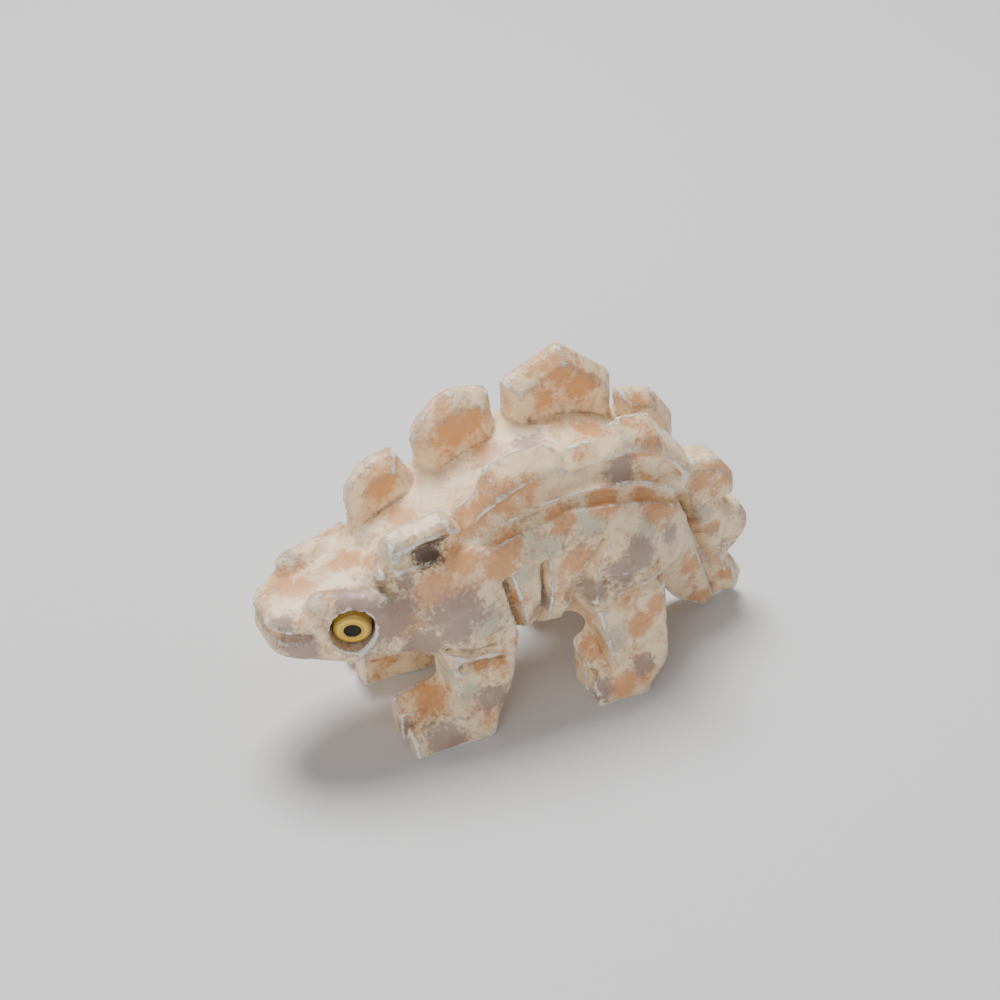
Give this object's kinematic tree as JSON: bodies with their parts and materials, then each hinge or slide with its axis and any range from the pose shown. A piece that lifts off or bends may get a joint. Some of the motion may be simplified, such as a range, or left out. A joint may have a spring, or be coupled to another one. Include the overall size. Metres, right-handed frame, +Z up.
{
  "type": "stone stegosaurus figurine",
  "caption": "Small carved stone stegosaurus standing on its feet, with a row of plates along each side of the back, a short crested tail and round inlaid eyes.",
  "frame": {"origin": "centre of the bounding box's base, level with the soles of the feet", "axes": "+X from head to tail, +Z up, -Y towards the animal's left side"},
  "size_m": [0.05, 0.0202, 0.0304],
  "materials": {
    "stone": "banded cream, tan and lilac grey stone with a waxy polish, chalky on worn edges",
    "eye_inlay": "satin yellow inlay with a rough black pupil"
  },
  "bodies": {
    "root": {"carved_body": "stone", "left_eye": "eye_inlay", "right_eye": "eye_inlay"}
  },
  "joints": []
}
